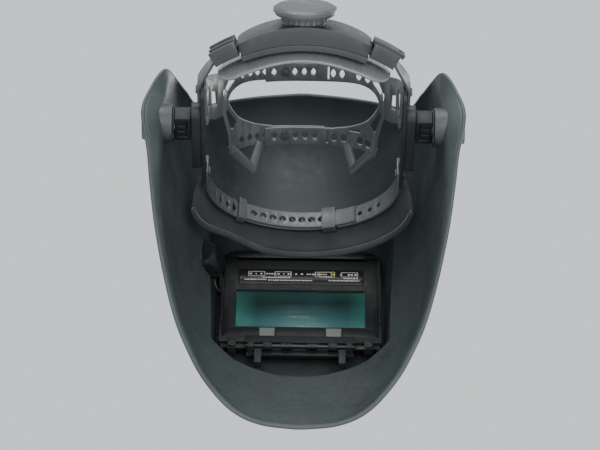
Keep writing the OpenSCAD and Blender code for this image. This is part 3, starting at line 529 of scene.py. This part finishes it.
def hull(name, pts, m):
    bm = bmesh.new()
    for p in world(m, pts):
        bm.verts.new(p)
    bmesh.ops.convex_hull(bm, input=bm.verts)
    loose = [v for v in bm.verts if not v.link_faces]
    bmesh.ops.delete(bm, geom=loose, context="VERTS")
    bmesh.ops.dissolve_limit(bm, angle_limit=math.radians(1), verts=bm.verts, edges=bm.edges)
    me = bpy.data.meshes.new(name)
    bm.to_mesh(me)
    bm.free()
    return link(me, name)


def bevel_now(o, width, seg=3, angle=20):
    b = o.modifiers.new("bevel", "BEVEL")
    b.width = width * MM
    b.segments = seg
    b.limit_method = "ANGLE"
    b.angle_limit = math.radians(angle)
    apply_all(o)


def snout_front(d):
    return [(52 - d, 54 - d), (63.5 - d, 43 - d * 0.6), (63 - d, -60 + d * 0.6), (36 - d * 0.4, -78 + d), (0, -83 + d),
            (-36 + d * 0.4, -78 + d), (-63 + d, -60 + d * 0.6), (-63.5 + d, 43 - d * 0.6), (-52 + d, 54 - d)]


def snout_back(d):
    return [(58 - d, 62 - d), (70 - d, 48 - d * 0.6), (65 - d, -98 + d * 0.6), (36 - d * 0.4, -132 + d * 1.2), (0, -147 + d * 1.3),
            (-36 + d * 0.4, -132 + d * 1.2), (-65 + d, -98 + d * 0.6), (-70 + d, 48 - d * 0.6), (-58 + d, 62 - d)]


def snout(name, d, front, chamfer):
    pts = [(x, y, front) for x, y in snout_front(d + chamfer)]
    pts += [(x, y, front - 4) for x, y in snout_front(d)]
    pts += [(x, y, -52) for x, y in snout_back(d)]
    return hull(name, pts, M_FILTER)


def cyl(name, m, r, z0, z1, seg=64):
    a = np.linspace(0, 2 * math.pi, seg, endpoint=False)
    pts = [(r * math.cos(t), r * math.sin(t), z) for z in (z0, z1) for t in a]
    F = [(i, (i + 1) % seg, seg + (i + 1) % seg, seg + i) for i in range(seg)]
    F += [tuple(range(seg))[::-1], tuple(range(seg, 2 * seg))]
    o = make(name, world(m, pts), F, smooth=False)
    recalc(o)
    return o


so = snout("snout_outer", 0, 15.5, 3)
bevel_now(so, 2.2, 3)
boolean(outer, so, "UNION")
M_AX = {s: (Matrix.Identity(4) if s > 0 else Matrix.Scale(-1, 4, (1, 0, 0))) @ Matrix.Rotation(math.radians(90), 4, "Y") for s in (1, -1)}
M_AXS = {s: M_SHELL @ M_AX[s] for s in (1, -1)}
for s in (1, -1):
    c = cyl("pad", M_AXS[s], 16.5, 94, 101.4)
    bevel_now(c, 0.8, 2, 40)
    boolean(outer, c, "UNION")
c = cyl("pad", M_SHADE, 18.5, -7, 0)
bevel_now(c, 0.8, 2, 40)
boolean(outer, c, "UNION")
boolean(outer, inner, "DIFFERENCE")
si = snout("snout_inner", WALL, 13, 2)
bevel_now(si, 2.0, 3)
boolean(outer, si, "DIFFERENCE")
for s in (1, -1):
    c = cyl("boss", M_AX[s], 13.3, 89.6, 101.2)
    bevel_now(c, 0.6, 2, 40)
    boolean(outer, c, "UNION")
c = cyl("boss", M_SHADE, 12, -5, -0.2)
boolean(outer, c, "UNION")
for s in (1, -1):
    boolean(outer, cyl("bore", M_AX[s], 6.05, 80, 120), "DIFFERENCE")
boolean(outer, cyl("bore", M_SHADE, 5, -12, 8), "DIFFERENCE")


def rrect_pts(w, h, r, n=6):
    out = []
    for cx, cy, a0 in ((w / 2 - r, h / 2 - r, 0), (-w / 2 + r, h / 2 - r, 90), (-w / 2 + r, -h / 2 + r, 180), (w / 2 - r, -h / 2 + r, 270)):
        for i in range(n + 1):
            a = math.radians(a0 + 90 * i / n)
            out.append((cx + r * math.cos(a), cy + r * math.sin(a)))
    return out


def prism(name, m, outline, z0, z1, smooth=False):
    n = len(outline)
    pts = [(x, y, z) for z in (z0, z1) for x, y in outline]
    F = [(i, (i + 1) % n, n + (i + 1) % n, n + i) for i in range(n)]
    F += [tuple(range(n))[::-1], tuple(range(n, 2 * n))]
    o = make(name, world(m, pts), F, smooth=smooth)
    recalc(o)
    return o


seat = prism("cut", M_SHADE, [(-12.2, -10.7), (12.2, -10.7), (12.2, 10.7), (-12.2, 10.7)], -30, -5)
boolean(outer, seat, "DIFFERENCE")
win = prism("cut", M_FILTER, [(x, y - 1) for x, y in rrect_pts(98, 70, 4)], 8, 20)
boolean(outer, win, "DIFFERENCE")
outer.name = "shell_skin"
w = outer.modifiers.new("weld", "WELD")
w.merge_threshold = 0.00002
apply_all(outer)
smooth_angle(outer, 30)
paint(outer, "shell_plastic")
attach(outer, "shell")
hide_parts("shell")

# rounded bead that finishes the shell's edge
def tube(name, path, rx, ry, nrm, seg=12, closed=False):
    """Swept tube with half axes rx (along nrm) and ry, along path."""
    P = np.asarray(path, float)
    n = len(P)
    if closed:
        T = unit(np.roll(P, -1, 0) - np.roll(P, 1, 0))
    else:
        T = unit(np.gradient(P, axis=0))
    N = unit(nrm - (nrm * T).sum(-1, keepdims=True) * T)
    B = np.cross(T, N)
    a = np.linspace(0, 2 * math.pi, seg, endpoint=False)
    rx = np.broadcast_to(rx, (n,))
    ry = np.broadcast_to(ry, (n,))
    V = [P[i] + rx[i] * math.cos(t) * N[i] + ry[i] * math.sin(t) * B[i] for i in range(n) for t in a]
    F = []
    for i in range(n if closed else n - 1):
        i2 = (i + 1) % n
        for k in range(seg):
            k2 = (k + 1) % seg
            F.append((i * seg + k, i * seg + k2, i2 * seg + k2, i2 * seg + k))
    if not closed:
        F.append(tuple(range(seg))[::-1])
        F.append(tuple((n - 1) * seg + k for k in range(seg)))
    o = make(name, V, F)
    recalc(o)
    return o


tb = np.linspace(0.15, 18.85, 220)
edge_l = shell_point(tb, 90.0)
nl = shell_normal(tb, 84.0)
mid_l = edge_l - 0.5 * WALL * nl - 0.3 * rim_out(tb)
mid_r = mid_l * np.array([-1, 1, 1])
nr = nl * np.array([-1, 1, 1])
loop = np.concatenate([mid_l, mid_r[::-1]])
nloop = np.concatenate([nl, nr[::-1]])
bead = tube("shell_edge", world(M_SHELL, loop), 1.35 * MM, 1.2 * MM, nloop @ np.array([[M_SHELL[j][i] for j in range(3)] for i in range(3)]), 10, True)
paint(bead, "shell_plastic")
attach(bead, "shell")

# ------------------------------------------------------------------ sweatband
FA, FB, FC = 70.5, 50.0, 58.0


def pad_pt(q, d, z):
    a = math.radians(q)
    n = np.array([math.sin(a) / FA, math.cos(a) / FB])
    n /= np.linalg.norm(n)
    lean = max(0, 6 - z) * 0.16
    return (FA * math.sin(a) + (d + lean) * n[0], -(FC + FB * math.cos(a) + (d + lean) * n[1]), z)


def lift(q, z):
    return z + 5.0 * math.exp(-(((q - 43) / 18.0) ** 2)) * min(1.0, max(0.0, (-4 - z) / 18.0))


sec = [(-0.5, 8.8), (-0.6, 3), (-0.6, -5), (-0.6, -12), (-0.4, -19), (0.2, -22.6), (2.4, -22.8), (3.6, -19), (4.0, -12), (4.0, -4), (3.7, 4), (2.6, 9)]
qs = np.linspace(-83.5, 83.5, 73)
V, F = [], []
for q in qs:
    for d, z in sec:
        V.append(pad_pt(q, d, lift(q, z)))
ns = len(sec)
for i in range(len(qs) - 1):
    for k in range(ns):
        F.append((i * ns + k, i * ns + (k + 1) % ns, (i + 1) * ns + (k + 1) % ns, (i + 1) * ns + k))
F.append(tuple(range(ns)))
F.append(tuple((len(qs) - 1) * ns + k for k in range(ns))[::-1])
band = make("sweatband_cloth", np.array(V) * MM, F)
recalc(band)


def inflate(o, voxel, pressure, cap, frames=18):
    """Pads a closed form with cloth under pressure and keeps the result."""
    m = o.modifiers.new("remesh", "REMESH")
    m.mode = "VOXEL"
    m.voxel_size = voxel
    apply_all(o)
    before = np.array([v.co[:] for v in o.data.vertices])
    c = o.modifiers.new("cloth", "CLOTH")
    c.settings.use_pressure = True
    c.settings.uniform_pressure_force = pressure
    c.settings.quality = 6
    c.settings.mass = 0.2
    c.settings.tension_stiffness = 12
    c.settings.compression_stiffness = 12
    c.settings.bending_stiffness = 2
    c.settings.effector_weights.gravity = 0
    c.point_cache.frame_start = 1
    c.point_cache.frame_end = frames
    for f in range(1, frames + 1):
        bpy.context.scene.frame_set(f)
    dg = bpy.context.evaluated_depsgraph_get()
    ev = o.evaluated_get(dg)
    after = np.array([v.co[:] for v in ev.data.vertices])
    o.modifiers.clear()
    bpy.context.scene.frame_set(1)
    if len(after) == len(before):
        d = after - before
        ln = np.linalg.norm(d, axis=1, keepdims=True)
        d *= np.minimum(1, cap / np.maximum(ln, 1e-9))
        o.data.vertices.foreach_set("co", (before + d).ravel())
        o.data.update()


inflate(band, 0.0026, 3.0, 0.0012)
sm = band.modifiers.new("smooth", "SMOOTH")
sm.factor = 0.5
sm.iterations = 4
sub = band.modifiers.new("sub", "SUBSURF")
sub.levels = 1
sub.render_levels = 1
apply_all(band)
band.data.polygons.foreach_set("use_smooth", [True] * len(band.data.polygons))
paint(band, "sweat_cloth")
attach(band, "headband")
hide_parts("sweatband")

# turned hem along the lower edge
hem_path = np.array([pad_pt(q, 1.2, lift(q, -23.0)) for q in np.linspace(-83, 83, 90)]) * MM
hem = tube("sweatband_hem", hem_path, 2.5 * MM, 1.7 * MM, np.broadcast_to(np.array([0, 0, 1.0]), hem_path.shape), 12)
paint(hem, "binding_cloth")
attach(hem, "headband")

# ------------------------------------------------------------------ rear straps
def rear_pt(r, a, z):
    a = math.radians(a)
    q = world(M_REAR, [(-r * math.sin(a), r * math.cos(a), z)])[0] / MM
    return tuple(q)


def rrect_sec(w, h, r, n=3):
    return rrect_pts(w, h, r, n)


for side_name, sgn, radius, tail in (("left", 1, 115, 25), ("right", -1, 112.7, 17)):
    m = radius + 0.95
    P = np.array([(71.05, 27, 0), (71.05, 32, 0), (71.05, 36, 0), (70.9, 42.5, 0.1), (68, 50, 0.4), (63.6, 58.5, 0.9), (59.8, 65.4, 1.5),
                  rear_pt(m, -27.5, 0), rear_pt(m, -25.5, 0), rear_pt(m, -23.5, 0), rear_pt(m, -21.5, 0)])
    H = np.array([(0, 0, 1), (0, 0, 1), (0, 0, 1), (0, -0.03, 1), (0, -0.12, 0.99), (0, -0.3, 0.95), (0, -0.45, 0.89)] + [(0, -0.552, 0.834)] * 4)
    tt = np.linspace(0, 10, 90)
    C, HH = along(P, tt), unit(along(H, tt))
    D = unit(along(P, np.minimum(tt + 0.1, 10)) - along(P, np.maximum(tt - 0.1, 0)))
    O = unit(np.cross(D, HH))
    sec2 = rrect_sec(1.9, 14.4, 0.6)
    ns = len(sec2)
    V, F = [], []
    for i in range(len(tt)):
        # the strap's front end is rounded off
        k = min(1.0, math.sqrt(max(0.0, 1 - max(0, 1 - (C[i][1] - 27) / 4.5) ** 2)) * 0.45 + 0.55) if C[i][1] < 31.5 else 1.0
        for o_, h_ in sec2:
            V.append((C[i] + O[i] * o_ + HH[i] * h_ * k) * np.array([sgn, 1, 1]) * MM)
    for i in range(len(tt) - 1):
        for k in range(ns):
            F.append((i * ns + k, i * ns + (k + 1) % ns, (i + 1) * ns + (k + 1) % ns, (i + 1) * ns + k))
    F.append(tuple(range(ns)))
    F.append(tuple((len(tt) - 1) * ns + k for k in range(ns))[::-1])
    run = make("rear_run_" + side_name, V, F)
    recalc(run)
    smooth_angle(run, 40)
    paint(run, "strap_plastic")
    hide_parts("rear_strap_" + side_name)
    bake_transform(run)
    # peg and button head, fixed in the rail
    for z0, z1, rr in ((65.2, 71.9, 1.8), (71.8, 73.3, 3.0)):
        peg = cyl("rear_peg_%s_%d" % (side_name, z0), Matrix.Translation((0, 36, 0)) @ M_AX[sgn], rr, z0, z1, 40)
        bevel_now(peg, 0.35, 2, 40)
        smooth_angle(peg, 35)
        paint(peg, "strap_plastic")
        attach(peg, "headband")
    # toothed rack inside the housing
    a0, a1 = (-22.5, tail) if sgn > 0 else (-tail, 22.5)
    zz = (5.3, 10) if sgn > 0 else (-10, -5.3)
    ang = np.radians(np.linspace(a0, a1, 60))
    V, F = [], []
    for a in ang:
        for rad, z in ((radius, zz[0]), (radius + 1.9, zz[0]), (radius + 1.9, zz[1]), (radius, zz[1])):
            V.append((-rad * math.sin(a), rad * math.cos(a), z))
    for i in range(len(ang) - 1):
        for k in range(4):
            F.append((i * 4 + k, i * 4 + (k + 1) % 4, (i + 1) * 4 + (k + 1) % 4, (i + 1) * 4 + k))
    F += [(3, 2, 1, 0), tuple((len(ang) - 1) * 4 + k for k in range(4))]
    step = math.radians(360 / 8) * 4.5 / (radius + 0.95)
    for i in range(-8, 9):
        a = (i + 0.5) * step
        b = len(V)
        for dx in (-0.45, 0.45):
            for rad in (radius + 0.05, radius + 1.85):
                for z in (sgn * 3.95, sgn * 5.4):
                    x, y = dx, rad
                    V.append((x * math.cos(a) - y * math.sin(a), x * math.sin(a) + y * math.cos(a), z))
        for f in ((0, 1, 3, 2), (4, 6, 7, 5), (0, 4, 5, 1), (2, 3, 7, 6), (0, 2, 6, 4), (1, 5, 7, 3)):
            F.append(tuple(b + q for q in f))
    rk = make("rear_rack_" + side_name, world(M_REAR, V), F, smooth=False)
    recalc(rk)
    paint(rk, "strap_plastic")
    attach(rk, "rear_strap_" + side_name)
    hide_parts("rear_strap_" + side_name)

# ------------------------------------------------------------------ moulded nape pad
NAPE_Z = [-17.2, -13.0, -8.5, -2.0, 5.0, 13.0]
NAPE_R = [98.6, 100.7, 102.9, 104.35, 104.6, 104.6]


def nape_section(a):
    """Closed outline of the pad, radius and height, at an angle in degrees."""
    x = 104.0 * math.sin(math.radians(abs(a)))
    cut = 10 - math.sqrt(max(0.0, 100 - max(0.0, x - 47.0) ** 2))
    lo, hi = -16.3 + cut, 11.9 - cut
    zs = np.linspace(lo, hi, 11)
    wave = 0.5 * math.cos(math.radians(a * 9))
    rs = np.interp(zs, NAPE_Z, NAPE_R) + wave * np.clip((-4 - zs) / 12, 0, 1)
    rs = np.convolve(np.pad(rs, 1, mode="edge"), [0.25, 0.5, 0.25], "valid")
    half = 1.2 + 0.2 * np.sin(np.linspace(0, math.pi, 11))
    dr, dz = np.gradient(rs), np.gradient(zs)
    ln = np.hypot(dr, dz)
    nr, nz = dz / ln, -dr / ln
    out = [(rs[i] + nr[i] * half[i], zs[i] + nz[i] * half[i]) for i in range(11)]
    inn = [(rs[i] - nr[i] * half[i], zs[i] - nz[i] * half[i]) for i in range(11)]

    def cap(k, sgn_):
        t = (dr[k] / ln[k], dz[k] / ln[k])
        pts = []
        for b in (36, 72, 108, 144):
            c, d_ = math.cos(math.radians(b)), math.sin(math.radians(b))
            c *= sgn_
            pts.append((rs[k] + half[k] * (nr[k] * c + t[0] * d_ * sgn_), zs[k] + half[k] * (nz[k] * c + t[1] * d_ * sgn_)))
        return pts

    return out + cap(10, 1) + inn[::-1] + cap(0, -1)


ang = np.linspace(-33.2, 33.2, 96)
NS = len(nape_section(0))
V, F = [], []
for a in ang:
    ra = math.radians(a)
    for rr, z in nape_section(a):
        V.append((-rr * math.sin(ra), rr * math.cos(ra), z))
for i in range(len(ang) - 1):
    for k in range(NS):
        F.append((i * NS + k, i * NS + (k + 1) % NS, (i + 1) * NS + (k + 1) % NS, (i + 1) * NS + k))
F += [tuple(range(NS))[::-1], tuple((len(ang) - 1) * NS + k for k in range(NS))]
pad = make("nape_pad_moulding", world(M_REAR, V), F)
recalc(pad)
smooth_angle(pad, 50)
paint(pad, "pad_plastic")
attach(pad, "rear_unit")
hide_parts("nape_pad")

# ------------------------------------------------------------------ generic marks on the filter label
def marks(name, rects, mat, z0=-0.46, z1=-0.36):
    V, F = [], []
    for x0, y0, x1, y1 in rects:
        b = len(V)
        for z in (z0, z1):
            V += [(x0, y0, z), (x1, y0, z), (x1, y1, z), (x0, y1, z)]
        F += [(b, b + 3, b + 2, b + 1), (b + 4, b + 5, b + 6, b + 7)]
        F += [(b + i, b + (i + 1) % 4, b + 4 + (i + 1) % 4, b + 4 + i) for i in range(4)]
    o = make(name, world(M_FILTER, V), F, False)
    recalc(o)
    paint(o, mat)
    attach(o, "shell")
    return o


def frame_box(x0, y0, x1, y1, w=0.35):
    return [(x0, y0, x1, y0 + w), (x0, y1 - w, x1, y1), (x0, y0, x0 + w, y1), (x1 - w, y0, x1, y1)]


rnd = np.random.RandomState(4)
white, yellow = [], []
for x0 in (-41, -22, 7, 26):
    white += frame_box(x0, 23.4, x0 + 12, 28.8)
x = -40.0
while x < 41:
    w_ = rnd.uniform(0.6, 1.6)
    if rnd.rand() < 0.7:
        white.append((x, 25.4, x + w_, 26.8))
    x += w_ + rnd.uniform(0.5, 1.1)
for x0, x1, y in ((-42, -20, 18.6), (-8, 23, 18.2), (25, 41, 18.8), (-41, -31, 21.2), (8, 27, 21.4)):
    x = x0
    while x < x1:
        w_ = rnd.uniform(0.5, 1.4)
        white.append((x, y, x + w_, y + 1.1))
        x += w_ + rnd.uniform(0.3, 0.7)
yellow += frame_box(-24.5, 22.8, -13, 29.2, 0.6)
marks("label_marks", white, "pointer_white")
marks("label_marks_tint", yellow, "mark_yellow")

# ------------------------------------------------------------------ finger pads moulded on the bail
V, F = [], []
for sx in (-1, 1):
    b = len(V)
    for z, g in ((-2.5, 0.0), (-2.95, 0.35)):
        V += [(sx * 23.5 - 5.5 + g, -47.2 + g, z), (sx * 23.5 + 5.5 - g, -47.2 + g, z), (sx * 23.5 + 5.5 - g, -38.0 - g, z), (sx * 23.5 - 5.5 + g, -38.0 - g, z)]
    F += [(b, b + 3, b + 2, b + 1), (b + 4, b + 5, b + 6, b + 7)]
    F += [(b + i, b + (i + 1) % 4, b + 4 + (i + 1) % 4, b + 4 + i) for i in range(4)]
tabs = make("bail_finger_pads", world(M_FILTER, V), F, False)
recalc(tabs)
bevel_now(tabs, 0.3, 2, 30)
paint(tabs, "bail_pad")
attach(tabs, "retaining_bail")

# ------------------------------------------------------------------ stage
def backdrop():
    me = bpy.data.materials.new("studio_floor")
    me.use_nodes = True
    nt = me.node_tree
    p = nt.nodes["Principled BSDF"]
    n = noise(nt, coords(nt), 0.6, 2)
    nt.links.new(ramp(nt, n, [(0.3, (0.8, 0.81, 0.81)), (0.7, (0.84, 0.84, 0.84))]), p.inputs["Base Color"])
    p.inputs["Roughness"].default_value = 0.9
    return me


STAGE = backdrop()
fl = make("studio_floor", [(-14, -14, -1.9), (14, -14, -1.9), (14, 14, -1.9), (-14, 14, -1.9)], [(0, 1, 2, 3)], False)
fl.data.materials.append(STAGE)

# ------------------------------------------------------------------ camera
TH, ROLL = math.radians(39.0), math.radians(0.85)
d = Vector((0, -math.cos(TH), math.sin(TH)))
u = Vector((0, math.sin(TH), math.cos(TH)))
r = Vector((-1, 0, 0))
r2 = math.cos(ROLL) * r + math.sin(ROLL) * u
u2 = -math.sin(ROLL) * r + math.cos(ROLL) * u
target = Vector((1.292, -42.99, -53.08)) * MM
eye = target - 2.2 * d
cam_data = bpy.data.cameras.new("camera")
cam_data.sensor_width = 36
cam_data.lens = 36 * 1.46 * 2200 / 600
cam_data.clip_end = 100
cam = bpy.data.objects.new("camera", cam_data)
bpy.context.scene.collection.objects.link(cam)
cam.matrix_world = Matrix((
    (r2.x, u2.x, -d.x, eye.x),
    (r2.y, u2.y, -d.y, eye.y),
    (r2.z, u2.z, -d.z, eye.z),
    (0, 0, 0, 1)))
bpy.context.scene.camera = cam

# ------------------------------------------------------------------ light
w = bpy.data.worlds.new("studio")
bpy.context.scene.world = w
w.use_nodes = True
bg = w.node_tree.nodes["Background"]
bg.inputs["Color"].default_value = (0.93, 0.97, 1.0, 1)
bg.inputs["Strength"].default_value = 0.95


def area(name, loc, look, size, power, color=(1, 1, 1)):
    ld = bpy.data.lights.new(name, "AREA")
    ld.shape = "RECTANGLE"
    ld.size, ld.size_y = size
    ld.energy = power
    ld.color = color
    o = bpy.data.objects.new(name, ld)
    bpy.context.scene.collection.objects.link(o)
    o.location = loc
    o.rotation_euler = (Vector(look) - Vector(loc)).to_track_quat("-Z", "Y").to_euler()
    return o


area("key", (0.2, 1.6, 1.5), (0, 0, 0), (1.4, 1.0), 30)
area("fill", (-0.3, 1.8, -0.9), (0, -0.05, -0.08), (1.6, 1.2), 26)
area("front", (-1.4, -1.9, 1.4), (0, 0, 0), (1.5, 1.2), 34)
